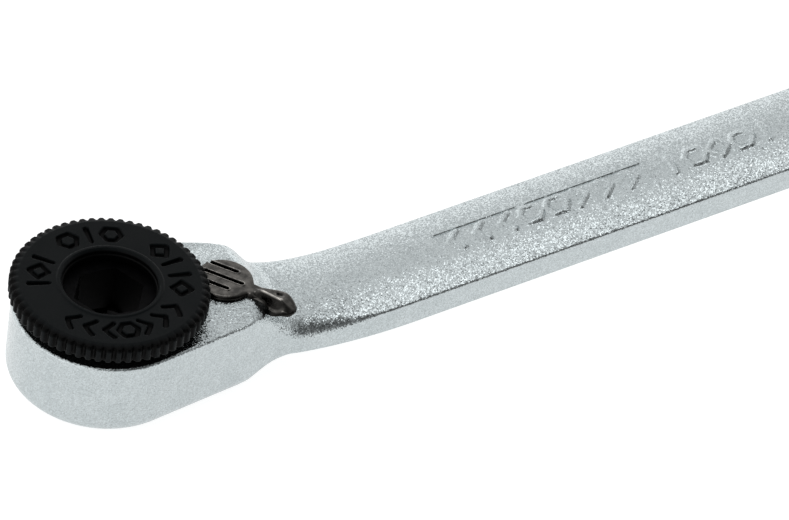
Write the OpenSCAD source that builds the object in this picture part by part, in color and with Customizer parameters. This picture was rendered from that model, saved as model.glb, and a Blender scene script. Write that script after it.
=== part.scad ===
// Reversible mini ratchet wrench with a through socket for 6.35 mm hex bits.
// The origin is on the drive axis, in the plane of the head's underside. +X runs along the handle.

/* [Head] */
// Radius of the round head
head_r = 9.65; // [9.6:0.05:10.2]
// Thickness of the head
head_h = 8.9; // [8.8:0.1:9.4]
// Angle of each flank behind the round head, in degrees
flank_angle = 15; // [15:0.1:18]
// Distance from the drive axis to the end of the flat head
plateau_x = 14.3; // [14:0.1:15]
// Rounding of the head's lower edge
lower_round = 1.7; // [1.2:0.1:1.8]

/* [Handle] */
// Distance from the drive axis to the end of the handle
handle_end_x = 85; // [75:1:110]
// Width of the handle
handle_w = 11; // [10:0.1:11.5]
// Rise of the handle above the head's plane, in degrees
handle_rise = 12.9; // [10:0.5:15]
// Height of the flat side walls of the handle
side_h = 2.9; // [2.4:0.05:3.2]
// Rise of the crowned top and bottom above the side walls
crown_h = 1.1; // [0.8:0.1:1.4]

/* [Drive gear] */
// Radius over the tooth tips
gear_tip_r = 7; // [6.9:0.05:7.1]
// Depth of a tooth
tooth_depth = 0.4; // [0.3:0.05:0.45]
// Width across the flats of the bit socket
hex_af = 6.42; // [6.38:0.01:6.5]

/* [Thumb ring] */
// Radius over the ridges
ring_r = 10; // [9.9:0.05:10.2]
// Number of ridges
ridge_count = 62; // [50:1:66]
// Depth of the grooves between ridges
ridge_depth = 0.28; // [0.2:0.02:0.34]
// Radius of the hole
ring_hole_r = 4.65; // [4.5:0.05:4.9]

/* [Reversing lever] */
// Angle of the lever each side of the handle's line, in degrees
lever_swing = 44.5; // [42:0.5:44.5]
// Distance from the pivot to the middle of the knob
lever_reach = 6.85; // [6.6:0.05:6.9]

/* [Hidden] */
$fn = 96;
overrun = 1;
run_gap = 0.05;
small_fn = 32;
gear_teeth = 60;
pivot_x = 12;

// Steps in the bore, from the underside up
cavity_r = gear_tip_r + 0.1;
cavity_top = 6.9;
journal_r = 6;
groove_r = 7.7;
groove_z = [0.45, 1.1];
washer_z = [1.12, 1.62];
gear_z = [1.66, 6.8];
gear_foot_z = 0.15;
foot_r = 5.1;
collar_r = 5.5;
collar_flat = 5.1;
collar_top = 10.5;

// Thumb ring heights
ring_hub_r = 8.4;
ring_hub_z = 9;
ring_under_z = 10;
ring_top_z = 12;
ring_face_r = 9.1;
ring_shoulder = 0.3;
hole_bevel = 0.45;
ring_under_break = 0.15;
ridge_relief = 0.02;
ring_play = 0.02;
// Share of the pitch that half a crest and half a groove's flank-to-root take up
crest_share = 0.16;
root_share = 0.3;

// Bit clip
clip_groove_r = 3.95;
clip_groove_z = [4.6, 5.4];
clip_r = [3.12, 3.85];
clip_play = 0.1;
clip_gap_half = 25;

// Thrust washer and circlip
washer_play = 0.05;
washer_hole_play = 0.1;
circlip_play = 0.03;
circlip_inner_r = 6.2;
lug_gap_half = 13;
lug_offset = 5;
lug_x = 6.35;
lug_r = 0.85;
lug_hole_r = 0.4;

// Lever, plunger and pawl
stem_r = 1.45;
stem_foot_z = 0.95;
lever_plate_r = 2.9;
lever_plate_offset = 0.35;
lever_plate_t = 0.95;
lever_plate_z = head_h + run_gap;
knob_r = 1.42;
knob_z = [8.55, 10];
knob_edge = 0.5;
knob_core_inset = 0.3;
arm_root_x = 1.2;
arm_root_r = 1.9;
waist_r = 0.85;
waist_start = 3.8;
waist_end = 4.7;
// Spacing, depth and width of the three grooves, and the reach of the middle and outer ones
groove_pitch = 1.4;
groove_depth = 0.2;
groove_w = 0.36;
groove_start = -1.9;
groove_reach = [2.2, 1.1];
snap_z = [7.5, 7.9];
snap_groove_r = 1.1;
snap_outer_r = 1.75;
snap_gap_half = 28;
plunger_r = 0.6;
plunger_tip = 2.8;
plunger_back = 0.7;
plunger_z = 4.25;
window_play = [0.25, 0.3];
window_half = 70;
stem_foot_play = 0.1;
stem_join = 0.2;
seat_length = 4;
spring_seat = 0.8;
spring_turns = 5;
spring_wire = 0.11;
spring_coil_r = 0.42;
spring_steps = 14;
spring_play = 0.02;
pawl_z = [1.8, 6.7];
pawl_back_r = 9.75;
pawl_half = 22;
pawl_travel = 12;
pawl_tooth_clear = 0.04;
pocket_r = 9.9;
pocket_half = 30;
notch_r = 0.95;
notch_x = 9.9;

// ---------- outline of the forged body ----------

tangent_x = head_r * sin(flank_angle);
tangent_y = head_r * cos(flank_angle);
rise = tan(handle_rise);
half_w = handle_w / 2;
line_x = 35;
line_z = 7.79;
neck_x = 18.5;
drop_end_x = 17.2;
// How far before the plateau's end the underside starts to rise
under_lead = 1.6;
// Where the upper edge leaves its straight line, and how it sweeps up from there to the head
top_sweep_x = 34;
top_sweep_h = 1.1;
top_sweep_run = 13;
top_sweep_power = 3.5;
// The same for the lower edge, down to the neck
low_sweep_x = 32;
low_sweep_h = 1.65;
end_round = half_w;
edge_break = 0.22;
// Half-angle of the small flat that closes the nose, and how far that flat is domed
nose_start = 6;
nose_dome = 0.04;
nose_x = -head_r * cos(nose_start);
least_w = 0.25;

function clamp01(t) = max(0, min(1, t));
function smooth(a, b, x) = let (t = clamp01((x - a) / (b - a))) t * t * (3 - 2 * t);
function mix(a, b, t) = a + (b - a) * t;

function flank_w(x) = tangent_y - tan(flank_angle) * (x - tangent_x);
function handle_line(x) = line_z + rise * (x - line_x);
function top_sweep(x) = top_sweep_h * pow(max(0, top_sweep_x - x) / top_sweep_run, top_sweep_power);
function low_sweep(x) = low_sweep_h * pow(max(0, low_sweep_x - x) / (low_sweep_x - neck_x), 2);
function round_w(radius, x) = sqrt(max(least_w * least_w, radius * radius - x * x));

// Half-width in plan: the round head, tapering flanks, the parallel handle and its round end
function plan_w(x) =
    x <= tangent_x ? round_w(head_r, x)
    : x < neck_x ? mix(flank_w(x), half_w, smooth(plateau_x - 2, neck_x - 1, x))
    : x < handle_end_x - end_round ? half_w
    : round_w(half_w, x - handle_end_x + end_round);

// How far the edge at a given turn of the lower rounding stands from the middle plane
function lower_w(x, r, turn) =
    x <= tangent_x ? round_w(head_r - r + r * cos(turn), x) : plan_w(x) - r + r * cos(turn);

// The rounding turns a full quarter, except at the nose, where the section cuts it short
function last_turn(x, r) = x < r - head_r ? acos((-x - head_r + r) / r) : 90;

function dome(x) = x <= nose_x ? nose_dome : 0;
// The crown keeps its curve as the round end narrows
function end_scale(x) = x > low_sweep_x ? max(0.05, pow(plan_w(x) / half_w, 2)) : 1;
function top_edge(x) =
    mix(head_h, handle_line(x) + top_sweep(x), smooth(plateau_x - 0.2, drop_end_x, x)) - dome(x);
function top_crown(x) = crown_h * smooth(plateau_x, low_sweep_x - 8, x) * end_scale(x) + dome(x);
function under_round(x) = mix(lower_round, 0.3, smooth(plateau_x - 2, neck_x + 1, x));
function under_crown(x) = crown_h * smooth(plateau_x, neck_x + 2, x) * end_scale(x) + dome(x);
function under_edge(x) =
    let (handle_x = max(x, neck_x))
    let (low = handle_line(handle_x) + low_sweep(handle_x) - side_h)
    mix(0, low, smooth(plateau_x - under_lead, neck_x, x)) + dome(x);

// One closed section in the plane x = constant: the top from +Y to -Y, then round underneath
top_steps = 8;
corner_steps = 3;
function body_section(x) =
    let (
        w = plan_w(x), zt = top_edge(x), ct = top_crown(x),
        r = under_round(x), turn = last_turn(x, r), bw = lower_w(x, r, turn),
        zc = under_edge(x) + r, zb = zc - r * sin(turn), cb = under_crown(x),
        top_w = max(least_w, w - edge_break),
        turns = [for (i = [0:corner_steps]) turn * i / corner_steps]
    )
    concat(
        [for (i = [0:top_steps]) let (t = 1 - 2 * i / top_steps) [x, t * top_w, zt + ct * (1 - t * t)]],
        [[x, -w, zt - edge_break]],
        [for (a = turns) [x, -lower_w(x, r, a), zc - r * sin(a)]],
        [for (i = [1:top_steps - 1]) let (t = 2 * i / top_steps - 1) [x, t * bw, zb - cb * (1 - t * t)]],
        [for (i = [corner_steps:-1:0]) [x, lower_w(x, r, turns[i]), zc - r * sin(turns[i])]],
        [[x, w, zt - edge_break]]
    );

stations = concat(
    [for (i = [0:12]) -head_r * cos(mix(nose_start, 90 + flank_angle, i / 12))],
    [for (i = [1:3]) mix(tangent_x, plateau_x - 1.6, i / 3)],
    [for (i = [1:12]) mix(plateau_x - 1.6, neck_x + 1.5, i / 12)],
    [for (i = [1:8]) mix(neck_x + 1.5, top_sweep_x, i / 8)],
    [for (i = [1:3]) mix(top_sweep_x, handle_end_x - end_round, i / 3)],
    [for (i = [1:8]) handle_end_x - end_round + end_round * sin(90 * i / 8) * 0.995]
);

// ---------- shapes that repeat ----------

// A solid skin over a list of closed sections that all have the same number of points
module skin(sections) {
    n = len(sections[0]);
    last = len(sections) - 1;
    points = [for (s = sections) each s];
    sides = [for (k = [0:last - 1]) for (j = [0:n - 1]) let (a = k * n + j, b = k * n + (j + 1) % n)
        each [[a, b, b + n], [a, b + n, a + n]]];
    caps = [[for (j = [n - 1:-1:0]) j], [for (j = [0:n - 1]) last * n + j]];
    polyhedron(points, concat(sides, caps), convexity = 8);
}

// A flat ring between two heights
module ring(outer, inner, z) {
    difference() {
        translate([0, 0, z[0]]) cylinder(r = outer, h = z[1] - z[0]);
        translate([0, 0, z[0] - overrun]) cylinder(r = inner, h = z[1] - z[0] + 2 * overrun);
    }
}

// A wedge with its point on the Z axis, open towards an angle, for cutting sectors
module wedge(middle, half, radius, z) {
    far = radius / cos(half);
    translate([0, 0, z[0]]) linear_extrude(z[1] - z[0])
        polygon([[0, 0], for (s = [-1, 1]) far * [cos(middle + s * half), sin(middle + s * half)]]);
}

// A round post between two heights
module post(radius, z) {
    translate([0, 0, z[0]]) cylinder(r = radius, h = z[1] - z[0]);
}

// A round collar with two flats, so that the thumb ring can't turn on the gear
module flatted(radius, flat, z) {
    intersection() {
        post(radius, z);
        translate([-2 * radius, -flat, z[0]]) cube([4 * radius, 2 * flat, z[1] - z[0]]);
    }
}

// ---------- forged body ----------

module gear_bore() {
    post(cavity_r, [-overrun, cavity_top]);
    post(journal_r + run_gap, [0, head_h + overrun]);
    post(groove_r, groove_z);
}

module pawl_pocket() {
    intersection() {
        post(pocket_r, gear_z);
        wedge(0, pocket_half, pocket_r + overrun, [0, head_h]);
    }
}

module lever_bore() {
    reach = plunger_r + window_play[1];
    window_z = [plunger_z - reach, plunger_z + reach];
    translate([pivot_x, 0, 0]) {
        post(stem_r + run_gap, [stem_foot_z - stem_foot_play, head_h + overrun]);
        post(snap_outer_r + run_gap, [snap_z[0] - run_gap, snap_z[1] + run_gap]);
        intersection() {
            post(plunger_tip + window_play[0], window_z);
            wedge(180, window_half, plunger_tip + overrun, window_z);
        }
    }
}

module wrench_body() {
    color([0.72, 0.74, 0.75]) difference() {
        skin([for (x = stations) body_section(x)]);
        gear_bore();
        pawl_pocket();
        lever_bore();
    }
}

// ---------- drive: gear, thumb ring and bit clip ----------

tooth_pitch = 360 / gear_teeth;

module gear_blank() {
    points = [for (i = [0:gear_teeth - 1]) each [
        gear_tip_r * [cos(i * tooth_pitch), sin(i * tooth_pitch)],
        (gear_tip_r - tooth_depth) * [cos((i + 0.5) * tooth_pitch), sin((i + 0.5) * tooth_pitch)],
    ]];
    translate([0, 0, gear_z[0]]) linear_extrude(gear_z[1] - gear_z[0]) polygon(points);
}

module ratchet_gear() {
    color([0.3, 0.3, 0.31]) difference() {
        union() {
            gear_blank();
            post(foot_r, [gear_foot_z, gear_z[0] + 0.5]);
            post(journal_r, [gear_z[1] - 0.5, ring_hub_z]);
            flatted(collar_r, collar_flat, [gear_z[1], collar_top]);
        }
        translate([0, 0, -overrun])
            cylinder(r = hex_af / 2 / cos(30), h = collar_top + 2 * overrun, $fn = 6);
        post(clip_groove_r, clip_groove_z);
    }
}

module thumb_ring() {
    pitch = 360 / ridge_count;
    inner = ring_r - ridge_depth;
    crest = crest_share * pitch;
    root = root_share * pitch;
    outer = ring_r + ridge_relief;
    ridges = [for (i = [0:ridge_count - 1]) each [
        ring_r * [cos(i * pitch - crest), sin(i * pitch - crest)],
        ring_r * [cos(i * pitch + crest), sin(i * pitch + crest)],
        inner * [cos(i * pitch + root), sin(i * pitch + root)],
        inner * [cos((i + 1) * pitch - root), sin((i + 1) * pitch - root)],
    ]];
    color([0.08, 0.08, 0.085]) difference() {
        union() {
            intersection() {
                translate([0, 0, ring_under_z]) linear_extrude(ring_top_z - ring_under_z) polygon(ridges);
                rotate_extrude() polygon([
                    [0, ring_under_z], [ring_r - ring_under_break, ring_under_z],
                    [outer, ring_under_z + ring_under_break], [outer, ring_top_z - ring_shoulder],
                    [ring_face_r, ring_top_z], [0, ring_top_z],
                ]);
            }
            post(ring_hub_r, [ring_hub_z, ring_under_z + 0.5]);
        }
        flatted(collar_r + ring_play, collar_flat + ring_play, [ring_hub_z - overrun, collar_top]);
        post(ring_hole_r, [ring_hub_z, ring_top_z + overrun]);
        translate([0, 0, ring_top_z - hole_bevel])
            cylinder(r1 = ring_hole_r, r2 = ring_hole_r + 2 * hole_bevel, h = 2 * hole_bevel);
    }
}

module bit_clip() {
    z = [clip_groove_z[0] + clip_play, clip_groove_z[1] - clip_play];
    color([0.6, 0.6, 0.6]) difference() {
        ring(clip_r[1], clip_r[0], z);
        wedge(90, clip_gap_half, 2 * clip_r[1], [0, head_h]);
    }
}

// ---------- parts that hold the gear in ----------

module thrust_washer() {
    color([0.55, 0.55, 0.56]) ring(cavity_r - washer_play, foot_r + washer_hole_play, washer_z);
}

module gear_circlip() {
    z = [groove_z[0] + circlip_play, groove_z[1] - circlip_play];
    lug_turn = lug_gap_half + lug_offset;
    color([0.2, 0.2, 0.2]) difference() {
        union() {
            difference() {
                ring(groove_r - run_gap, circlip_inner_r, z);
                rotate([0, 0, 180]) wedge(0, lug_gap_half, 2 * groove_r, [0, head_h]);
            }
            for (side = [-1, 1]) rotate([0, 0, 180 + side * lug_turn])
                translate([lug_x, 0, 0]) post(lug_r, z);
        }
        for (side = [-1, 1]) rotate([0, 0, 180 + side * lug_turn])
            translate([lug_x, 0, 0]) post(lug_hole_r, [0, head_h]);
    }
}

// ---------- reversing lever and what it carries ----------

// Places children in the lever's own frame, with the knob along +X, at the resting position
module at_lever() {
    translate([pivot_x, 0, 0]) rotate([0, 0, -lever_swing]) children();
}

module lever_plate() {
    z = [lever_plate_z, lever_plate_z + lever_plate_t];
    difference() {
        translate([lever_plate_offset, 0, 0]) post(lever_plate_r, z);
        for (k = [-1:1]) translate([groove_start, k * groove_pitch - groove_w / 2, z[1] - groove_depth])
            cube([groove_reach[abs(k)] - groove_start, groove_w, overrun]);
    }
}

// A round pad as thick as the plate, for the hulls of the arm
module plate_pad(x, radius) {
    translate([x, 0, lever_plate_z]) cylinder(r = radius, h = lever_plate_t, $fn = small_fn);
}

module lever_arm() {
    core_z = [knob_z[0] + knob_edge, knob_z[1] - 0.2 * knob_edge];
    hull() {
        plate_pad(lever_plate_offset + arm_root_x, arm_root_r);
        plate_pad(waist_start, waist_r);
    }
    hull() {
        plate_pad(waist_end, waist_r);
        translate([lever_reach, 0, core_z[0]])
            cylinder(r = knob_r - knob_core_inset, h = core_z[1] - core_z[0], $fn = small_fn);
    }
    translate([lever_reach, 0, 0]) rotate_extrude() polygon([
        [0, knob_z[0]], [knob_r - knob_edge, knob_z[0]], [knob_r, knob_z[0] + knob_edge],
        [knob_r, knob_z[1] - knob_edge], [knob_r - knob_edge, knob_z[1]], [0, knob_z[1]],
    ]);
}

module reversing_lever() {
    color([0.25, 0.22, 0.2]) at_lever() difference() {
        union() {
            lever_plate();
            lever_arm();
            post(stem_r, [stem_foot_z, lever_plate_z + stem_join]);
        }
        ring(stem_r + overrun, snap_groove_r, [snap_z[0] - run_gap, snap_z[1] + run_gap]);
        translate([spring_seat, 0, plunger_z]) rotate([0, -90, 0])
            cylinder(r = plunger_r + run_gap, h = seat_length);
    }
}

module lever_snap_ring() {
    color([0.5, 0.5, 0.5]) translate([pivot_x, 0, 0]) difference() {
        ring(snap_outer_r, snap_groove_r + run_gap, snap_z);
        wedge(0, snap_gap_half, 2 * snap_outer_r, [0, head_h]);
    }
}

// The plunger points from the pivot towards the gear, opposite the knob
module pawl_plunger() {
    length = plunger_tip - plunger_r - plunger_back;
    color([0.7, 0.7, 0.7]) at_lever() translate([-plunger_back, 0, plunger_z]) rotate([0, -90, 0]) {
        cylinder(r = plunger_r, h = length);
        translate([0, 0, length]) sphere(r = plunger_r);
    }
}

function coil_point(t, r, a, wire) =
    [(spring_coil_r + wire * cos(a)) * cos(t), (spring_coil_r + wire * cos(a)) * sin(t), r + wire * sin(a)];

module plunger_spring() {
    length = plunger_back + spring_seat - 2 * (spring_wire + spring_play);
    steps = spring_steps * spring_turns;
    color([0.6, 0.6, 0.6]) at_lever()
        translate([spring_seat - spring_wire - spring_play, 0, plunger_z]) rotate([0, -90, 0])
            skin([for (k = [0:steps]) [for (j = [0:5])
                coil_point(360 * spring_turns * k / steps, length * k / steps, -60 * j, spring_wire)]]);
}

// ---------- pawl ----------

module pawl() {
    inner_r = gear_tip_r + pawl_tooth_clear;
    count = floor(2 * pawl_half / tooth_pitch);
    first = -count / 2;
    teeth = [for (i = [0:2 * count]) let (a = (first + i / 2) * tooth_pitch)
        (inner_r + (i % 2 == 0 ? tooth_depth : 0)) * [cos(a), sin(a)]];
    back = [for (a = [pawl_half:-2:-pawl_half]) pawl_back_r * [cos(a), sin(a)]];
    color([0.35, 0.35, 0.36]) rotate([0, 0, pawl_travel / 2]) difference() {
        translate([0, 0, pawl_z[0]]) linear_extrude(pawl_z[1] - pawl_z[0]) polygon(concat(teeth, back));
        translate([notch_x, 0, 0]) post(notch_r, [0, head_h]);
    }
}

wrench_body();
ratchet_gear();
thumb_ring();
bit_clip();
thrust_washer();
gear_circlip();
reversing_lever();
lever_snap_ring();
plunger_spring();
pawl_plunger();
pawl();
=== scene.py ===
import math
import bmesh
import bpy
import numpy as np
from mathutils import Matrix, Vector


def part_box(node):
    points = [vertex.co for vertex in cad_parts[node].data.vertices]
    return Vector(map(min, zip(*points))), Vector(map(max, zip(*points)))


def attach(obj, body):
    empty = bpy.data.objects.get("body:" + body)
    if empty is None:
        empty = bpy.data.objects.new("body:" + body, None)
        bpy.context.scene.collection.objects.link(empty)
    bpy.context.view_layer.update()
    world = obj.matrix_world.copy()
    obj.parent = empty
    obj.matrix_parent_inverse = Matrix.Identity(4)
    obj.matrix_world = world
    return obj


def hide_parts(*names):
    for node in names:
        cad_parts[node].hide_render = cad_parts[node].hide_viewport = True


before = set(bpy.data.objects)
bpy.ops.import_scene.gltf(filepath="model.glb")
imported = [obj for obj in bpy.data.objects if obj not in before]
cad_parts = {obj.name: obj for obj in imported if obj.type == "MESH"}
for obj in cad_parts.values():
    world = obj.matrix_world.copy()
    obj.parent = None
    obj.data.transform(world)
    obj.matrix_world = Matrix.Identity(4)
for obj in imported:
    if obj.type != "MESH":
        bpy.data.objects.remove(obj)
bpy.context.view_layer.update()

# All sizes below are in millimetres unless a name says otherwise
MM = 0.001


def node_box(name):
    """Lowest and highest corner of a CAD node, in millimetres."""
    low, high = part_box(name)
    return np.array(low) / MM, np.array(high) / MM


# ---------------------------------------------------------------- sizes of the forged body

body_low, body_high = node_box("wrench_body")
HEAD_R = -body_low[0]
HEAD_H = 8.9
PLATEAU_RISE = 0.38
PLATEAU_RISE_CLEAR_R = 8.6
FLANK = math.radians(15.0)
PLATEAU_X = 14.3
NECK_X = 18.5
DROP_END_X = 17.2
TOP_SWEEP_X = 34.0
TOP_SWEEP_H = 1.1
TOP_SWEEP_RUN = 13.0
TOP_SWEEP_POWER = 3.5
LOW_SWEEP_X = 32.0
LOW_SWEEP_H = 1.65
HALF_W = 5.5
END_X = body_high[0]
RISE = math.tan(math.radians(12.9))
LINE_X = 35.0
LINE_Z = 7.79
SIDE_H = 2.9
CROWN_H = 1.1
LOWER_ROUND = 1.7
UPPER_ROUND = 0.33
HANDLE_LOWER_ROUND = 0.35
NECK_ROUND_NEAR = 2.2
NECK_ROUND_FAR = 0.9
UNDER_LEAD = 1.6
TANGENT_X = HEAD_R * math.sin(FLANK)
TANGENT_Y = HEAD_R * math.cos(FLANK)


def smooth(a, b, x):
    t = np.clip((x - a) / (b - a), 0, 1)
    return t * t * (3 - 2 * t)


def mix(a, b, t):
    return a + (b - a) * t


def plan_w(x):
    """Half-width of the body in plan: round head, tapering flanks, parallel handle and its round end."""
    head = np.sqrt(np.clip(HEAD_R**2 - x**2, 0, None))
    flank = TANGENT_Y - math.tan(FLANK) * (x - TANGENT_X)
    neck = mix(flank, HALF_W, smooth(PLATEAU_X - 2, NECK_X - 1, x))
    end = np.sqrt(np.clip(HALF_W**2 - np.clip(x - END_X + HALF_W, 0, None) ** 2, 0, None))
    return np.where(x < TANGENT_X, head, np.where(x < NECK_X, neck, end))


def handle_line(x):
    """Height of the edge between the side wall and the crowned top, where the handle is straight."""
    return LINE_Z + RISE * (x - LINE_X)


def top_sweep(x):
    return TOP_SWEEP_H * (np.clip(TOP_SWEEP_X - x, 0, None) / TOP_SWEEP_RUN) ** TOP_SWEEP_POWER


def low_sweep(x):
    return LOW_SWEEP_H * (np.clip(LOW_SWEEP_X - x, 0, None) / (LOW_SWEEP_X - NECK_X)) ** 2


def crown_share(x):
    """The crown keeps its curve as the round end narrows."""
    return np.where(x > LOW_SWEEP_X, np.maximum(0.02, (plan_w(x) / HALF_W) ** 2), 1.0)


def top_edge(x, lead, lag):
    """Height of the upper edge. The drop behind the head starts earlier by lead and ends later by lag."""
    drop = smooth(PLATEAU_X - 0.2 - lead, DROP_END_X + lag, x)
    return mix(HEAD_H, handle_line(x) + top_sweep(x), drop)


def plateau_rise(x, y):
    """The head's top is slightly domed under the lever, clear of the ring's hub."""
    clear_of_hub = smooth(PLATEAU_RISE_CLEAR_R, PLATEAU_RISE_CLEAR_R + 0.7, np.hypot(x, y))
    across = 1 - smooth(3.0, 6.2, np.abs(y))
    return PLATEAU_RISE * clear_of_hub * across * (1 - smooth(14.2, 16.5, x)) * (x > 0)


def top_crown(x):
    return CROWN_H * smooth(PLATEAU_X, LOW_SWEEP_X - 8, x) * crown_share(x)


def under_edge(x):
    handle_x = np.maximum(x, NECK_X)
    low = handle_line(handle_x) + low_sweep(handle_x) - SIDE_H
    return mix(0.0, low, smooth(PLATEAU_X - UNDER_LEAD, NECK_X, x))


def under_crown(x):
    return CROWN_H * smooth(PLATEAU_X, NECK_X + 2, x) * crown_share(x)


def top_fillet(x, side):
    """Radius of the upper edge: crisp on the head, soft in the neck, crisp again along the handle."""
    neck = smooth(13.0, 16.0, x) * (1 - smooth(19.0, 29.0, x))
    return mix(UPPER_ROUND, np.where(side < 0, NECK_ROUND_NEAR, NECK_ROUND_FAR), neck)


def under_fillet(x, _side):
    return mix(LOWER_ROUND, HANDLE_LOWER_ROUND, smooth(PLATEAU_X - 2, NECK_X + 1, x))


# ---------------------------------------------------------------- marks cut or raised by geometry

def ring_of_lines(count, radius):
    """The sides of a regular polygon, as line segments."""
    turns = [math.tau * i / count for i in range(count)]
    corners = [(radius * math.cos(turn), radius * math.sin(turn)) for turn in turns]
    return [(*corners[i], *corners[(i + 1) % count]) for i in range(count)]


# Each mark is a list of line segments in a box about 1.6 high, centred on the origin
MARKS = {
    "hexagon": ring_of_lines(6, 0.82),
    "chevron_out": [(-0.4, 0.8, 0.35, 0), (0.35, 0, -0.4, -0.8)],
    "chevron_back": [(0.4, 0.8, -0.35, 0), (-0.35, 0, 0.4, -0.8)],
    "bar": [(0, -0.8, 0, 0.8)],
    "diamond": ring_of_lines(4, 0.8),
}


def stroke_distance(u, v, segments):
    """Distance from points to the nearest of a list of line segments."""
    nearest = np.full(u.shape, 1e9)
    for x0, y0, x1, y1 in segments:
        dx, dy = x1 - x0, y1 - y0
        share = np.clip(((u - x0) * dx + (v - y0) * dy) / (dx * dx + dy * dy), 0, 1)
        nearest = np.minimum(nearest, np.hypot(u - x0 - share * dx, v - y0 - share * dy))
    return nearest


def row_of_marks(names, pitch, size, centre=(0.0, 0.0)):
    """Segments of marks in a row along u."""
    segments = []
    for i, name in enumerate(names):
        at = centre[0] + (i - (len(names) - 1) / 2) * pitch
        for x0, y0, x1, y1 in MARKS[name]:
            segments.append((at + size * x0, centre[1] + size * y0, at + size * x1, centre[1] + size * y1))
    return segments


# ---------------------------------------------------------------- mesh helpers

ARC_STEPS = 4
WALL_ROWS = 3
FILLET_ROWS = 9


def grid_faces(rows, cols, first=0, wrap=False):
    """Quads over a grid of points that are numbered row by row."""
    last = cols if wrap else cols - 1
    faces = []
    for i in range(rows - 1):
        for j in range(last):
            k = (j + 1) % cols
            a = first + i * cols
            faces.append((a + j, a + k, a + cols + k, a + cols + j))
    return faces


def mesh_object(name, points, faces, angle=35.0, weld=0.002):
    """A closed, smoothly shaded mesh object from points in millimetres."""
    mesh = bpy.data.meshes.new(name)
    mesh.from_pydata((np.asarray(points, float) * MM).tolist(), [], faces)
    obj = bpy.data.objects.new(name, mesh)
    bpy.context.scene.collection.objects.link(obj)
    settle(obj, angle, weld)
    return obj


def settle(obj, angle=35.0, weld=0.0):
    """Welds doubled points, drops empty faces, turns all faces outward and sets the smooth shading."""
    bm = bmesh.new()
    bm.from_mesh(obj.data)
    if weld:
        bmesh.ops.remove_doubles(bm, verts=bm.verts, dist=weld * MM)
    bmesh.ops.dissolve_degenerate(bm, edges=bm.edges, dist=1e-8)
    bmesh.ops.recalc_face_normals(bm, faces=bm.faces)
    bm.to_mesh(obj.data)
    bm.free()
    obj.data.shade_smooth()
    obj.data.set_sharp_from_angle(angle=math.radians(angle))


def weigh_normals(obj):
    modifier = obj.modifiers.new("weighted", "WEIGHTED_NORMAL")
    modifier.keep_sharp = True
    modifier.weight = 60


def rounded(corners):
    """A path with its corners turned into arcs. Each corner is (r, z, radius)."""
    path = []
    count = len(corners)
    for i, (r, z, radius) in enumerate(corners):
        here = Vector((r, z))
        to_last = (Vector(corners[i - 1][:2]) - here).normalized()
        to_next = (Vector(corners[(i + 1) % count][:2]) - here).normalized()
        if radius == 0:
            path.append(tuple(here))
            continue
        half = to_last.angle(to_next) / 2
        away = radius / math.tan(half)
        middle = here + (to_last + to_next).normalized() * radius / math.sin(half)
        start = (here + to_last * away - middle).normalized()
        end = (here + to_next * away - middle).normalized()
        for k in range(ARC_STEPS + 1):
            path.append(tuple(middle + start.slerp(end, k / ARC_STEPS) * radius))
    return path


def lathe(name, path, steps, centre=(0.0, 0.0)):
    """A closed path of (r, z) turned round a vertical axis. Points on the axis close the form."""
    path = np.array(path)
    turn = np.linspace(0, math.tau, steps, endpoint=False)
    closed = path[0][0] > 1e-6 or path[-1][0] > 1e-6
    rows = np.vstack([path, path[:1]]) if closed else path
    x = centre[0] + rows[:, :1] * np.cos(turn)
    y = centre[1] + rows[:, :1] * np.sin(turn)
    z = np.repeat(rows[:, 1:2], steps, axis=1)
    points = np.stack([x, y, z], axis=2).reshape(-1, 3)
    return mesh_object(name, points, grid_faces(len(rows), steps, wrap=True))


def post(name, radius, low, high, centre=(0.0, 0.0), steps=96):
    """A solid round post, for cutting."""
    return lathe(name, [(0, low), (radius, low), (radius, high), (0, high)], steps, centre)


def prism(name, outline, low, high):
    """An upright solid over a closed outline of (x, y) points."""
    outline = np.asarray(outline, float)
    count = len(outline)
    points = [(*p, low) for p in outline] + [(*p, high) for p in outline]
    faces = [(i, (i + 1) % count, count + (i + 1) % count, count + i) for i in range(count)]
    faces += [tuple(range(count))[::-1], tuple(range(count, 2 * count))]
    return mesh_object(name, points, faces)


def combine(target, tool, operation="DIFFERENCE"):
    """Applies a boolean with a tool object, then removes the tool."""
    modifier = target.modifiers.new("cut", "BOOLEAN")
    modifier.operation = operation
    modifier.solver = "EXACT"
    modifier.object = tool
    graph = bpy.context.evaluated_depsgraph_get()
    mesh = bpy.data.meshes.new_from_object(target.evaluated_get(graph))
    target.modifiers.remove(modifier)
    old = target.data
    target.data = mesh
    bpy.data.meshes.remove(old)
    bpy.data.objects.remove(tool)


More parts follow.
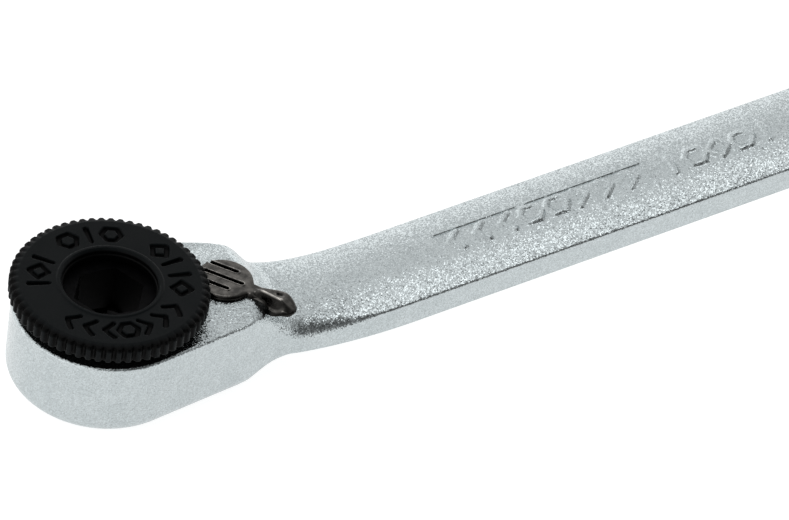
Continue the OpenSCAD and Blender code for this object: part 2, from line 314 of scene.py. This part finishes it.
def slab(name, half, stations, top, bottom, across, top_inset, bottom_inset):
    """A flat solid with an outline that is symmetric in plan and with rounded upper and lower edges.

    half(x) is the half-width. stations are (x, normal angle) along the +Y side from end to end. top(x, y)
    and bottom(x, y) are heights. top_inset(x, side) and bottom_inset(x, side) are the radii of the rounded
    edges, with side 1 for +Y and -1 for -Y."""
    x = np.array([s[0] for s in stations])
    turn = np.array([s[1] for s in stations])
    outward = np.stack([np.cos(turn), np.sin(turn)], axis=1)
    edge = np.stack([x, half(x)], axis=1)
    slope_step = 0.02

    def band(surface, radius, angle, down, side):
        """Points of a rounded edge at one angle above the wall, tangent to the surface and to the wall."""
        inner = edge - outward * slope_step
        outer_h = surface(edge[:, 0], edge[:, 1] * side)
        inner_h = surface(inner[:, 0], inner[:, 1] * side)
        slope = np.arctan2(down * (inner_h - outer_h), slope_step)
        reach = np.clip(math.pi / 2 - slope, 0.2, math.pi / 2)
        start = edge - outward * (radius * (1 - np.cos(reach)))[:, None]
        centre_h = surface(start[:, 0], start[:, 1] * side) - down * radius * np.sin(reach)
        turned = angle / (math.pi / 2) * reach
        spot = edge - outward * (radius * (1 - np.cos(turned)))[:, None]
        return np.column_stack([spot, centre_h + down * radius * np.sin(turned)])

    def side_rows(side):
        """Rows of points down one side: the upper edge, the wall and the lower edge."""
        falling = [math.radians(a) for a in np.linspace(90, 0, FILLET_ROWS)]
        rising = [math.radians(a) for a in np.linspace(0, 90, FILLET_ROWS)]
        upper = [band(top, top_inset(x, side), a, 1, side) for a in falling]
        lower = [band(bottom, bottom_inset(x, side), a, -1, side) for a in rising]
        wall = [mix(upper[-1], lower[0], k / WALL_ROWS) for k in range(1, WALL_ROWS)]
        return [row * np.array([1, side, 1]) for row in upper + wall + lower]

    left, right = side_rows(1), side_rows(-1)
    loop = [np.vstack([a, b[-2:0:-1]]) for a, b in zip(left, right)]
    points = [p for row in loop for p in row]
    faces = grid_faces(len(loop), len(loop[0]), wrap=True)
    share = np.linspace(0, 1, across + 1)
    for a, b, surface in ((left[0], right[0], top), (left[-1], right[-1], bottom)):
        first = len(points)
        xs = mix(a[:, :1], b[:, :1], share)
        ys = mix(a[:, 1:2], b[:, 1:2], share)
        zs = surface(xs.ravel(), ys.ravel()).reshape(xs.shape)
        zs[:, 0], zs[:, -1] = a[:, 2], b[:, 2]
        points += list(np.stack([xs, ys, zs], axis=2).reshape(-1, 3))
        faces += grid_faces(len(x), across + 1, first)
    return mesh_object(name, points, faces, weld=0.003)


# ---------------------------------------------------------------- forged body

MARK_START_X = 35.0
MARK_END_X = 74.0
MARK_DEPTH = 0.24
MARK_STROKE = 0.26
MARK_SIZE = 1.5
MARK_Y = -0.25
LINE_Y = 1.33
LINE_DEPTH = 0.14
BODY_ACROSS = 112

# Rows of marks on the handle: marks, pitch and middle
MARK_ROWS = (
    (["chevron_back"] * 3 + ["hexagon"] * 2 + ["chevron_out"] * 3, 2.78, 47.3),
    (["bar", "hexagon", "diamond", "hexagon", "bar"], 2.6, 66.6),
)
MARK_LINES = ((35.9, 45.0), (46.0, 58.6))


def body_stations():
    """Places along the +Y side of the outline, with the direction that the wall faces there."""
    places = [(-HEAD_R * math.cos(a), math.pi - a) for a in np.linspace(0, math.pi / 2 + FLANK, 61)]
    lines = (
        (TANGENT_X, PLATEAU_X - 2, 10),
        (PLATEAU_X - 2, NECK_X + 3, 34),
        (NECK_X + 3, MARK_START_X, 30),
        (MARK_START_X, MARK_END_X, 390),
        (MARK_END_X, END_X - HALF_W, 20),
    )
    step = 0.01
    for start, stop, count in lines:
        for x in np.linspace(start, stop, count + 1)[1:]:
            slope = float(plan_w(np.array(x - step)) - plan_w(np.array(x + step))) / (2 * step)
            places.append((x, math.atan2(1, slope)))
    for a in np.linspace(0, math.pi / 2, 25)[1:]:
        places.append((END_X - HALF_W + HALF_W * math.sin(a), math.pi / 2 - a))
    return places


def body_top(x, y):
    w = np.maximum(plan_w(x), 0.05)
    share = np.clip(1 - (y / w) ** 2, 0, 1)
    spread = smooth(0.3, 1.0, np.abs(y) / w)
    lead = spread * np.where(y < 0, 1.1, 0.0)
    lag = 1.2 + spread * np.where(y < 0, 1.2, -0.9)
    z = top_edge(x, lead, lag) + top_crown(x) * share + plateau_rise(x, y)
    nearest = np.full(x.shape, 1e9)
    for names, pitch, middle in MARK_ROWS:
        marks = row_of_marks(names, pitch, MARK_SIZE, (middle, MARK_Y))
        nearest = np.minimum(nearest, stroke_distance(x, y, marks))
    raised = MARK_DEPTH * (1 - smooth(MARK_STROKE - 0.18, MARK_STROKE + 0.2, nearest))
    lines = stroke_distance(x, y, [(start, LINE_Y, stop, LINE_Y) for start, stop in MARK_LINES])
    return z + raised - LINE_DEPTH * (1 - smooth(0.06, 0.2, lines))


def body_bottom(x, y):
    w = np.maximum(plan_w(x), 0.05)
    share = np.clip(1 - (y / w) ** 2, 0, 1)
    return under_edge(x) - under_crown(x) * share


def wedge_outline(middle, half, radius):
    """A triangle from the origin that covers a sector, given by its middle angle, half-angle and radius."""
    far = radius / math.cos(half)
    sides = (middle - half, middle + half)
    return [(0, 0)] + [(far * math.cos(a), far * math.sin(a)) for a in sides]


CUT_TOP = 10
GEAR_BORE_R = 7.1
GEAR_BORE_TOP = 6.9
COLLAR_BORE_R = 6.05
CIRCLIP_GROOVE = (7.7, 0.45, 1.1)
LEVER_BORE_R = 1.5
SNAP_GROOVE = (1.8, 7.45, 7.95)


def cut_gear_bore(body):
    groove_r, groove_low, groove_high = CIRCLIP_GROOVE
    bore = [
        (0, -1), (GEAR_BORE_R + 0.25, -1), (GEAR_BORE_R + 0.25, 0), (GEAR_BORE_R, 0.25),
        (GEAR_BORE_R, groove_low), (groove_r, groove_low), (groove_r, groove_high),
        (GEAR_BORE_R, groove_high), (GEAR_BORE_R, GEAR_BORE_TOP), (COLLAR_BORE_R, GEAR_BORE_TOP),
        (COLLAR_BORE_R, CUT_TOP), (0, CUT_TOP),
    ]
    combine(body, lathe("bore", bore, 160))


def cut_pawl_pocket(body):
    pocket = post("pocket", 9.9, 1.66, 6.8, steps=160)
    combine(pocket, prism("sector", wedge_outline(0, math.radians(30), 12), 0, 9), "INTERSECT")
    combine(body, pocket)


def cut_lever_bore(body, pivot):
    groove_r, groove_low, groove_high = SNAP_GROOVE
    bore = [
        (0, 0.85), (LEVER_BORE_R, 0.85), (LEVER_BORE_R, groove_low), (groove_r, groove_low),
        (groove_r, groove_high), (LEVER_BORE_R, groove_high), (LEVER_BORE_R, CUT_TOP), (0, CUT_TOP),
    ]
    combine(body, lathe("stem_bore", bore, 64, centre=pivot))
    window = post("window", 3.05, 3.35, 5.15, centre=pivot)
    sector = prism("window_sector", np.array(wedge_outline(math.pi, math.radians(70), 4)) + pivot, 3, 6)
    combine(window, sector, "INTERSECT")
    combine(body, window)


def make_body(pivot, material):
    body = slab(
        "forged_body", plan_w, body_stations(), body_top, body_bottom, BODY_ACROSS, top_fillet, under_fillet
    )
    cut_gear_bore(body)
    cut_pawl_pocket(body)
    cut_lever_bore(body, pivot)
    settle(body, 32)
    weigh_normals(body)
    body.data.materials.clear()
    body.data.materials.append(material)
    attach(body, "body")
    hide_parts("wrench_body")


# ---------------------------------------------------------------- thumb ring

ring_low, ring_high = node_box("thumb_ring")
RING_R = ring_high[0]
RING_TOP = ring_high[2]
FACE_Z = RING_TOP - 0.1
RING_HUB_Z = ring_low[2]
RING_UNDER = RING_TOP - 2.0
RIDGES = 62
RIDGE_DEPTH = 0.32
STEPS_PER_RIDGE = 12
HOLE_R = 4.65
COLLAR_R = 5.52
COLLAR_TOP = 10.5
HUB_R = 8.4
FACE_R = 9.05
RING_MARK_R = 7.1
RING_MARK_DEPTH = 0.34
RING_MARK_STROKE = 0.25
RING_MARK_SIZE = 1.22

# Each group on the ring: marks, angle of its middle in degrees, and pitch
RING_GROUPS = (
    (["chevron_back"] * 3 + ["hexagon"] + ["chevron_out"] * 3, -95, 1.95),
    (["diamond", "bar", "bar", "diamond"], 2, 2.0),
    (["hexagon", "bar", "hexagon"], 88, 2.3),
    (["bar", "diamond", "bar"], 153, 1.8),
)


def ring_path():
    """The ring's section, with many rows where marks are sunk in its face."""
    inside = rounded([
        (COLLAR_R, RING_HUB_Z, 0), (COLLAR_R, COLLAR_TOP, 0), (HOLE_R, COLLAR_TOP, 0.05),
        (HOLE_R, RING_TOP - 0.75, 0.05), (HOLE_R + 0.12, RING_TOP - 0.65, 0.03),
        (HOLE_R + 0.12, RING_TOP - 0.3, 0.1), (HOLE_R + 0.35, RING_TOP, 0.1),
        (HOLE_R + 0.6, RING_TOP, 0.1), (HOLE_R + 0.75, FACE_Z, 0.1), (RING_R, FACE_Z, 0),
    ])[:-1]
    face = [(r, FACE_Z) for r in np.linspace(HOLE_R + 0.9, FACE_R - 0.25, 64)]
    outside = rounded([
        (HOLE_R, FACE_Z, 0), (FACE_R, FACE_Z, 0.12), (RING_R - 0.22, RING_TOP - 0.26, 0.12),
        (RING_R, RING_TOP - 0.55, 0.15), (RING_R, RING_UNDER + 0.22, 0.12),
        (RING_R - 0.22, RING_UNDER, 0.12),
        (HUB_R, RING_UNDER, 0.1), (HUB_R, RING_HUB_Z + 0.15, 0.05), (HUB_R - 0.15, RING_HUB_Z, 0.05),
        (COLLAR_R, RING_HUB_Z, 0),
    ])[1:-1]
    return np.array(inside + face + outside)


def ring_marks(r, turn):
    """How far the face is sunk at each place."""
    nearest = np.full(r.shape, 1e9)
    for names, middle, pitch in RING_GROUPS:
        away = np.angle(np.exp(1j * (turn - math.radians(middle))))
        marks = row_of_marks(names, pitch, RING_MARK_SIZE)
        nearest = np.minimum(nearest, stroke_distance(away * RING_MARK_R, r - RING_MARK_R, marks))
    return RING_MARK_DEPTH * (1 - smooth(RING_MARK_STROKE - 0.06, RING_MARK_STROKE + 0.06, nearest))


def make_ring(material):
    path = ring_path()
    path = np.vstack([path, path[:1]])
    steps = RIDGES * STEPS_PER_RIDGE
    turn = np.linspace(0, math.tau, steps, endpoint=False)[None, :]
    r = np.repeat(path[:, :1], steps, axis=1)
    z = np.repeat(path[:, 1:], steps, axis=1)
    phase = np.abs(np.mod(turn * RIDGES / math.tau + 0.5, 1) - 0.5) * 2
    groove = smooth(0.25, 0.95, phase)
    r = r - RIDGE_DEPTH * groove * smooth(FACE_R + 0.1, RING_R - 0.25, r)
    on_face = (np.abs(z - FACE_Z) < 1e-6) & (r < FACE_R) & (r > HOLE_R + 0.8)
    z = z - np.where(on_face, ring_marks(r, np.repeat(turn, len(path), axis=0)), 0)
    points = np.stack([r * np.cos(turn), r * np.sin(turn), z], axis=2).reshape(-1, 3)
    ring = mesh_object("knurled_ring", points, grid_faces(len(path), steps, wrap=True), 50)
    ring.data.materials.append(material)
    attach(ring, "drive")
    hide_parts("thumb_ring")


# ---------------------------------------------------------------- reversing lever

PIVOT = (12.0, 0.0)
LEVER_TURN = math.radians(-44.5)
PLATE_R = 2.9
PLATE_AT = 0.35
PLATE_LOW = 9.36
PLATE_TOP = 9.86
KNOB_AT = 6.1
KNOB_HALF = 1.42
KNOB_END = 8.27
KNOB_LOW = 8.6
KNOB_TOP = 10.0
WAIST_W = 0.84
GROOVES = ((-1.9, 1.5, 1.05, 1.5), (-1.9, 0.1, 2.2, 0.1), (-1.9, -1.3, 1.2, -1.3))
DIMPLE = (6.15, 0.6)
GROOVE_DEPTH = 0.34
LIP_H = 0.11
LIP_AT = 0.28
LIP_HALF = 0.08
SKIRT_DEPTH = 1.05
HOLLOW_DEPTH = 0.16
DIMPLE_DEPTH = 0.24
END_DROP = 0.85
WAIST_DEPTH = 0.12
STEM_R = 1.45
STEM_GROOVE_R = 1.1
STEM_TOP = 9.4
LEVER_ACROSS = 120


def lever_half(u):
    """Half-width of the lever: a disc, a narrow waist and a drop-shaped knob."""
    disc = np.sqrt(np.clip(PLATE_R**2 - (u - PLATE_AT) ** 2, 0, None))
    neck = mix(WAIST_W, KNOB_HALF, smooth(3.9, KNOB_AT, u))
    share = np.clip(u - KNOB_AT, 0, None) / (KNOB_END - KNOB_AT)
    arm = np.minimum(neck, KNOB_HALF * np.sqrt(np.clip(1 - share**2, 0, None)))
    blend = 0.5 * smooth(1.0, 2.8, u) * (1 - smooth(3.6, 5.0, u))
    joined = 0.5 * (disc + arm + np.sqrt((disc - arm) ** 2 + blend**2))
    return np.where(u < 1.0, disc, joined)


def knob_ridge(u):
    """Line of the knob's ridge."""
    return mix(0.1, -0.2, smooth(4.0, 6.6, u))


def lever_top(u, v):
    away = stroke_distance(u, v, GROOVES)
    sunk = GROOVE_DEPTH * (1 - smooth(0.08, 0.2, away))
    lip = LIP_H * np.exp(-(((away - LIP_AT) / LIP_HALF) ** 2))
    on_knob = smooth(3.3, 4.7, u)
    aside = v - knob_ridge(u)
    skirt = SKIRT_DEPTH * smooth(0, 0.8, -aside) * mix(1, 0.45, smooth(6.2, 7.4, u))
    hollow = HOLLOW_DEPTH * smooth(0.08, 0.32, aside) * (1 - smooth(6.0, 7.0, u))
    from_dimple = np.hypot(0.6 * (u - DIMPLE[0]), v - DIMPLE[1])
    dimple = DIMPLE_DEPTH * (1 - smooth(0.05, 0.3, from_dimple))
    end = END_DROP * smooth(6.3, KNOB_END + 0.2, u)
    waist = WAIST_DEPTH * smooth(2.4, 3.4, u) * (1 - smooth(3.8, 4.6, u))
    knob = KNOB_TOP - PLATE_TOP - skirt - hollow - end - dimple
    return PLATE_TOP - sunk + lip - waist + on_knob * knob


def lever_bottom(u, v):
    return mix(PLATE_LOW, KNOB_LOW, smooth(4.7, 6.6, u)) + 0 * v


def lever_stations():
    places = []
    for a in np.linspace(0, math.pi / 2, 40):
        places.append((PLATE_AT - PLATE_R * math.cos(a), math.pi - a))
    step = 0.005
    round_u = KNOB_AT + 0.02
    for u in np.linspace(PLATE_AT, round_u, 121)[1:]:
        slope = float(lever_half(np.array(u - step)) - lever_half(np.array(u + step))) / (2 * step)
        places.append((u, math.atan2(1, slope)))
    reach = KNOB_END - KNOB_AT
    for a in np.linspace(0, math.pi / 2, 25)[1:]:
        facing = math.atan2(math.cos(a) / KNOB_HALF, math.sin(a) / reach)
        places.append((KNOB_AT + reach * math.sin(a), facing))
    return places


def lever_top_edge(u, side):
    return mix(np.where(side < 0, 0.5, 0.16), 0.42, smooth(3.2, 5.6, u))


def lever_under_edge(u, _side):
    return mix(0.1, 0.45, smooth(4.4, 6.0, u))


def make_lever(material):
    lever = slab(
        "gunmetal_lever", lever_half, lever_stations(), lever_top, lever_bottom, LEVER_ACROSS,
        lever_top_edge, lever_under_edge,
    )
    groove_low, groove_high = SNAP_GROOVE[1:]
    stem = [
        (0, 0.95), (1.25, 0.95), (STEM_R, 1.15), (STEM_R, groove_low), (STEM_GROOVE_R, groove_low),
        (STEM_GROOVE_R, groove_high), (STEM_R, groove_high), (STEM_R, STEM_TOP), (0, STEM_TOP),
    ]
    combine(lever, lathe("stem", stem, 64), "UNION")
    seat = post("plunger_seat", 0.65, -0.8, 3.2, steps=32)
    seat.data.transform(Matrix.Translation((0, 0, 4.25 * MM)) @ Matrix.Rotation(-math.pi / 2, 4, "Y"))
    combine(lever, seat)
    settle(lever, 35)
    weigh_normals(lever)
    place = Matrix.Translation((PIVOT[0] * MM, PIVOT[1] * MM, 0)) @ Matrix.Rotation(LEVER_TURN, 4, "Z")
    lever.data.transform(place)
    lever.data.materials.clear()
    lever.data.materials.append(material)
    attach(lever, "lever")
    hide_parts("reversing_lever")


# ---------------------------------------------------------------- materials

def new_material(name, color, metallic, roughness):
    """A principled material with its node tree ready for patterns."""
    material = bpy.data.materials.new(name)
    material.use_nodes = True
    tree = material.node_tree
    shader = tree.nodes["Principled BSDF"]
    shader.inputs["Base Color"].default_value = (*color, 1)
    shader.inputs["Metallic"].default_value = metallic
    shader.inputs["Roughness"].default_value = roughness
    return material, tree, shader


def add_node(tree, kind, **values):
    """A node with the given input values; names have _ for spaces."""
    node = tree.nodes.new(kind)
    for key, value in values.items():
        node.inputs[key.replace("_", " ")].default_value = value
    return node


def place_of(tree):
    return tree.nodes.new("ShaderNodeTexCoord").outputs["Object"]


def noise(tree, size, detail=2.0, roughness=0.5):
    """Noise with features of about the given size in millimetres."""
    node = add_node(tree, "ShaderNodeTexNoise", Scale=1 / (size * MM), Detail=detail, Roughness=roughness)
    tree.links.new(place_of(tree), node.inputs["Vector"])
    return node.outputs["Fac"]


def remap(tree, value, low, high, out_low, out_high):
    node = add_node(
        tree, "ShaderNodeMapRange", From_Min=low, From_Max=high, To_Min=out_low, To_Max=out_high
    )
    tree.links.new(value, node.inputs["Value"])
    return node.outputs["Result"]


def blend_colors(tree, share, first, second):
    node = tree.nodes.new("ShaderNodeMix")
    node.data_type = "RGBA"
    node.inputs["A"].default_value = (*first, 1)
    node.inputs["B"].default_value = (*second, 1)
    tree.links.new(share, node.inputs["Factor"])
    return node.outputs["Result"]


def mottled(tree, pattern, dark, light, low=0.3, high=0.7):
    """A color that wanders between two tones as a pattern goes from low to high."""
    return blend_colors(tree, remap(tree, pattern, low, high, 0, 1), dark, light)


def upward(tree, vector):
    """The vertical part of a vector."""
    split = tree.nodes.new("ShaderNodeSeparateXYZ")
    tree.links.new(vector, split.inputs["Vector"])
    return split.outputs["Z"]


def math_op(tree, operation, first, second):
    node = tree.nodes.new("ShaderNodeMath")
    node.operation = operation
    tree.links.new(first, node.inputs[0])
    tree.links.new(second, node.inputs[1])
    return node.outputs["Value"]


def bump(tree, shader, layers, normal=None):
    """Chained bumps over an optional first normal. Each layer is (pattern, height in mm, strength)."""
    for height, size, strength in layers:
        node = add_node(tree, "ShaderNodeBump", Strength=strength, Distance=size * MM)
        tree.links.new(height, node.inputs["Height"])
        if normal is not None:
            tree.links.new(normal, node.inputs["Normal"])
        normal = node.outputs["Normal"]
    tree.links.new(normal, shader.inputs["Normal"])


def vector_op(tree, operation, first, second):
    """A vector node; the second input may be an output, a vector or, for SCALE, a number."""
    node = tree.nodes.new("ShaderNodeVectorMath")
    node.operation = operation
    tree.links.new(first, node.inputs[0])
    socket = node.inputs["Scale"] if operation == "SCALE" else node.inputs[1]
    if isinstance(second, bpy.types.NodeSocket):
        tree.links.new(second, socket)
    else:
        socket.default_value = second
    return node.outputs["Vector"]


def facets(tree, size, tilt):
    """Small flat facets that each lean their own way, less on upright walls, and a random value for each."""
    cells = add_node(tree, "ShaderNodeTexVoronoi", Scale=1 / (size * MM), Randomness=1.0)
    tree.links.new(place_of(tree), cells.inputs["Vector"])
    split = tree.nodes.new("ShaderNodeSeparateColor")
    tree.links.new(cells.outputs["Color"], split.inputs["Color"])
    lean = vector_op(tree, "SUBTRACT", cells.outputs["Color"], (0.5, 0.5, 0.5))
    amount = remap(tree, split.outputs["Blue"], 0.3, 1, 0.4 * tilt, tilt)
    scaled = vector_op(tree, "SCALE", lean, amount)
    normal = tree.nodes.new("ShaderNodeNewGeometry").outputs["Normal"]
    calmed = vector_op(tree, "SCALE", scaled, remap(tree, upward(tree, normal), 0.05, 0.6, 0.4, 1.0))
    leaning = vector_op(tree, "ADD", normal, calmed)
    unit = tree.nodes.new("ShaderNodeVectorMath")
    unit.operation = "NORMALIZE"
    tree.links.new(leaning, unit.inputs[0])
    return unit.outputs["Vector"], split.outputs["Green"]


def pearl_chrome():
    """Satin pearl chrome: a bright metal with a fine grain of facets that sparkles."""
    material, tree, shader = new_material("pearl_chrome", (0.54, 0.59, 0.6), 1.0, 0.3)
    normal, chance = facets(tree, 0.115, 0.72)
    pits = noise(tree, 0.13, 1.0)
    patches = noise(tree, 1.6, 3.0)
    tint = mottled(tree, patches, (0.47, 0.515, 0.525), (0.51, 0.555, 0.565))
    grained = vector_op(tree, "SCALE", tint, remap(tree, chance, 0, 1, 0.86, 1.14))
    pitted = vector_op(tree, "SCALE", grained, remap(tree, pits, 0.62, 0.76, 1.0, 0.7))
    tree.links.new(pitted, shader.inputs["Base Color"])
    tree.links.new(remap(tree, chance, 0, 1, 0.14, 0.26), shader.inputs["Roughness"])
    bump(tree, shader, [(noise(tree, 0.1, 2.0), 0.03, 0.3)], normal)
    return material


def matte_black():
    """Black ring with a fine moulded texture. Its colour holds painted shade: a tenth of the tone below the
    top face, sunk marks too, darkest between the side's ridges, crests near the face's tone.
    """
    material, tree, shader = new_material("matte_black", (0.004, 0.0045, 0.005), 0.0, 0.5)
    shader.inputs["Specular IOR Level"].default_value = 0.06
    grain = noise(tree, 0.12, 3.0, 0.6)
    patches = noise(tree, 2.5, 3.0)
    tint = mottled(tree, patches, (0.003, 0.0045, 0.005), (0.0048, 0.006, 0.0066))
    flat = vector_op(tree, "MULTIPLY", place_of(tree), (1, 1, 0))
    length = tree.nodes.new("ShaderNodeVectorMath")
    length.operation = "LENGTH"
    tree.links.new(flat, length.inputs[0])
    reach = length.outputs["Value"]
    on_side = remap(tree, reach, (FACE_R + 0.2) * MM, (RING_R - 0.34) * MM, 0, 1)
    on_crest = remap(tree, reach, (RING_R - 0.14) * MM, RING_R * MM, 0, 1)
    height = upward(tree, place_of(tree))
    # Painted shade: everything lower than the top face, the sunk marks too, is darkened to a tenth.
    sunk = remap(tree, height, (FACE_Z - 0.2) * MM, (FACE_Z - 0.05) * MM, 0.1, 1)
    # Painted shade on the side wall, darkest between the ridges; the crests keep nearly the face's tone.
    hollow = math_op(tree, "MULTIPLY", remap(tree, on_side, 0, 1, 1, 0.06), sunk)
    crest = remap(tree, on_crest, 0, 1, 0, 0.9)
    painted_shade_share = math_op(tree, "ADD", hollow, crest)
    tree.links.new(vector_op(tree, "SCALE", tint, painted_shade_share), shader.inputs["Base Color"])
    tree.links.new(remap(tree, grain, 0.3, 0.7, 0.36, 0.55), shader.inputs["Roughness"])
    bump(tree, shader, [(grain, 0.03, 0.35)])
    return material


def gunmetal():
    """Warm dark plating on a cast lever. Painted shade darkens its sides against the upward faces; the
    highest points are brighter, partly from wear and partly as a painted highlight.
    """
    material, tree, shader = new_material("gunmetal", (0.1, 0.09, 0.08), 1.0, 0.3)
    waves = noise(tree, 0.9, 3.0, 0.55)
    grain = noise(tree, 0.12, 2.0)
    tint = mottled(tree, waves, (0.058, 0.056, 0.053), (0.15, 0.143, 0.133), 0.35, 0.65)
    facing = tree.nodes.new("ShaderNodeTexCoord").outputs["Normal"]
    # Painted shade: faces that turn away from straight up get darker, down to a sixth on the sides.
    painted_side_shade = remap(tree, upward(tree, facing), 0.6, 0.95, 0.16, 1.0)
    height = upward(tree, place_of(tree))
    # The highest points, lips and knob ridge, get brighter: partly wear, partly a painted highlight.
    wear_and_painted_highlight = remap(tree, height, (PLATE_TOP + 0.03) * MM, KNOB_TOP * MM, 1.0, 4.5)
    toned = vector_op(tree, "SCALE", tint, painted_side_shade)
    tree.links.new(vector_op(tree, "SCALE", toned, wear_and_painted_highlight), shader.inputs["Base Color"])
    tree.links.new(remap(tree, waves, 0.3, 0.7, 0.12, 0.25), shader.inputs["Roughness"])
    bump(tree, shader, [(waves, 0.05, 0.5), (grain, 0.02, 0.5)])
    return material


def plain_steel(name, dark, light, rough, grain_size):
    """Machined or ground steel with a mottled tone."""
    material, tree, shader = new_material(name, light, 1.0, rough)
    patches = noise(tree, grain_size * 8, 3.0)
    grain = noise(tree, grain_size, 2.0)
    tree.links.new(mottled(tree, patches, dark, light), shader.inputs["Base Color"])
    tree.links.new(remap(tree, grain, 0.3, 0.7, rough - 0.08, rough + 0.1), shader.inputs["Roughness"])
    bump(tree, shader, [(grain, 0.02, 0.35)])
    return material


def dress_node(name, material, bevel=0.05):
    """Gives a CAD node its material, softened edges and even shading."""
    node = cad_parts[name]
    node.data.materials.clear()
    node.data.materials.append(material)
    if bevel:
        modifier = node.modifiers.new("soft_edges", "BEVEL")
        modifier.width = bevel * MM
        modifier.segments = 2
        modifier.limit_method = "ANGLE"
        modifier.angle_limit = math.radians(40)
        modifier.harden_normals = True


# ---------------------------------------------------------------- stage, lights and camera

def make_floor():
    mesh = bpy.data.meshes.new("floor")
    reach = 6.0
    corners = [(-reach, -reach, 0), (reach, -reach, 0), (reach, reach, 0), (-reach, reach, 0)]
    mesh.from_pydata(corners, [], [(0, 1, 2, 3)])
    floor = bpy.data.objects.new("floor", mesh)
    bpy.context.scene.collection.objects.link(floor)
    material, _tree, shader = new_material("pale_floor", (0.4, 0.4, 0.4), 0.0, 0.8)
    shader.inputs["Specular IOR Level"].default_value = 0.0
    shader.inputs["Emission Color"].default_value = (1, 1, 1, 1)
    shader.inputs["Emission Strength"].default_value = 0.84
    floor.data.materials.append(material)


# Brightness of the studio against the sine of the elevation, set to suit the photograph's light
SKY = (
    (0.0, 1.9), (0.1, 1.6), (0.21, 1.3), (0.33, 1.07), (0.45, 0.93), (0.62, 0.9),
    (0.8, 0.87), (0.9, 0.62), (0.96, 0.56), (0.982, 1.4), (1.0, 2.9),
)

# Dark cards: direction, cosines at which the card begins and is full, and brightness that is left
CARDS = (
    ((0.23, -0.88, 0.41), 0.6, 0.95, 0.14),
    ((0.66, -0.24, 0.71), 0.6, 0.95, 0.5),
)


def make_world():
    """Soft studio: bright horizon, quieter band, bright zenith, and dark cards on the near side."""
    world = bpy.data.worlds.new("studio")
    bpy.context.scene.world = world
    world.use_nodes = True
    tree = world.node_tree
    coord = tree.nodes.new("ShaderNodeTexCoord")
    ramp = tree.nodes.new("ShaderNodeValToRGB")
    ramp.color_ramp.interpolation = "EASE"
    elements = ramp.color_ramp.elements
    while len(elements) < len(SKY):
        elements.new(0.5)
    for element, (at, value) in zip(elements, SKY):
        element.position = at
        element.color = (value, value, value, 1)
    tree.links.new(upward(tree, coord.outputs["Generated"]), ramp.inputs["Fac"])
    sky = ramp.outputs["Color"]
    for direction, edge, full, left in CARDS:
        card = tree.nodes.new("ShaderNodeVectorMath")
        card.operation = "DOT_PRODUCT"
        card.inputs[1].default_value = direction
        tree.links.new(coord.outputs["Generated"], card.inputs[0])
        sky = vector_op(tree, "SCALE", sky, remap(tree, card.outputs["Value"], edge, full, 1.0, left))
    background = tree.nodes["Background"]
    tree.links.new(sky, background.inputs["Color"])
    background.inputs["Strength"].default_value = 1.0


def softbox(name, location, size, power):
    light = bpy.data.lights.new(name, "AREA")
    light.shape = "RECTANGLE"
    light.size, light.size_y = size
    light.energy = power
    lamp = bpy.data.objects.new(name, light)
    lamp.location = location
    lamp.rotation_euler = (-Vector(location)).to_track_quat("-Z", "Y").to_euler()
    bpy.context.scene.collection.objects.link(lamp)


# The camera: azimuth, elevation and roll in degrees, distance and aim in metres, lens and sensor in mm
CAMERA_ANGLES = (-29.2, 40.58, 9.96)
CAMERA_DISTANCE = 0.433
CAMERA_AIM = (0.02975, 0.01199, 0.0013)
CAMERA_LENS = 196.38
CAMERA_SENSOR = 36


def make_camera():
    """The photograph's view: turned, raised and rolled about the line of sight, on a long lens."""
    azimuth, elevation, roll = (math.radians(a) for a in CAMERA_ANGLES)
    back = Vector((
        math.sin(azimuth) * math.cos(elevation),
        -math.cos(azimuth) * math.cos(elevation),
        math.sin(elevation),
    ))
    level = Vector((math.cos(azimuth), math.sin(azimuth), 0))
    above = back.cross(level)
    right = level * math.cos(roll) + above * math.sin(roll)
    up = above * math.cos(roll) - level * math.sin(roll)
    aim_right, aim_up, aim_down = CAMERA_AIM
    aim = right * aim_right + up * aim_up - Vector((0, 0, aim_down))
    data = bpy.data.cameras.new("camera")
    data.sensor_width = CAMERA_SENSOR
    data.lens = CAMERA_LENS
    data.clip_start = 0.01
    data.clip_end = 50
    camera = bpy.data.objects.new("camera", data)
    turn = Matrix((right, up, back)).transposed().to_4x4()
    camera.matrix_world = Matrix.Translation(aim + back * CAMERA_DISTANCE) @ turn
    bpy.context.scene.collection.objects.link(camera)
    bpy.context.scene.camera = camera


make_camera()
make_floor()
make_world()
softbox("overhead", (0.1, 0.3, 2.2), (1.6, 1.6), 3)
bpy.context.scene.view_settings.view_transform = "Standard"

make_body(PIVOT, pearl_chrome())
make_ring(matte_black())
make_lever(gunmetal())

gear_steel = plain_steel("gear_steel", (0.0015, 0.0015, 0.0017), (0.004, 0.004, 0.0044), 0.5, 0.1)
spring_steel = plain_steel("spring_steel", (0.4, 0.4, 0.4), (0.56, 0.56, 0.55), 0.25, 0.06)
ground_steel = plain_steel("ground_steel", (0.45, 0.45, 0.46), (0.6, 0.6, 0.6), 0.28, 0.08)
black_oxide = plain_steel("black_oxide", (0.005, 0.005, 0.0055), (0.014, 0.014, 0.015), 0.45, 0.1)
dress_node("ratchet_gear", gear_steel, 0.08)
dress_node("bit_clip", black_oxide)
dress_node("thrust_washer", ground_steel)
dress_node("gear_circlip", black_oxide)
dress_node("lever_snap_ring", spring_steel)
dress_node("plunger_spring", spring_steel, 0)
dress_node("pawl_plunger", ground_steel)
dress_node("pawl", gear_steel)
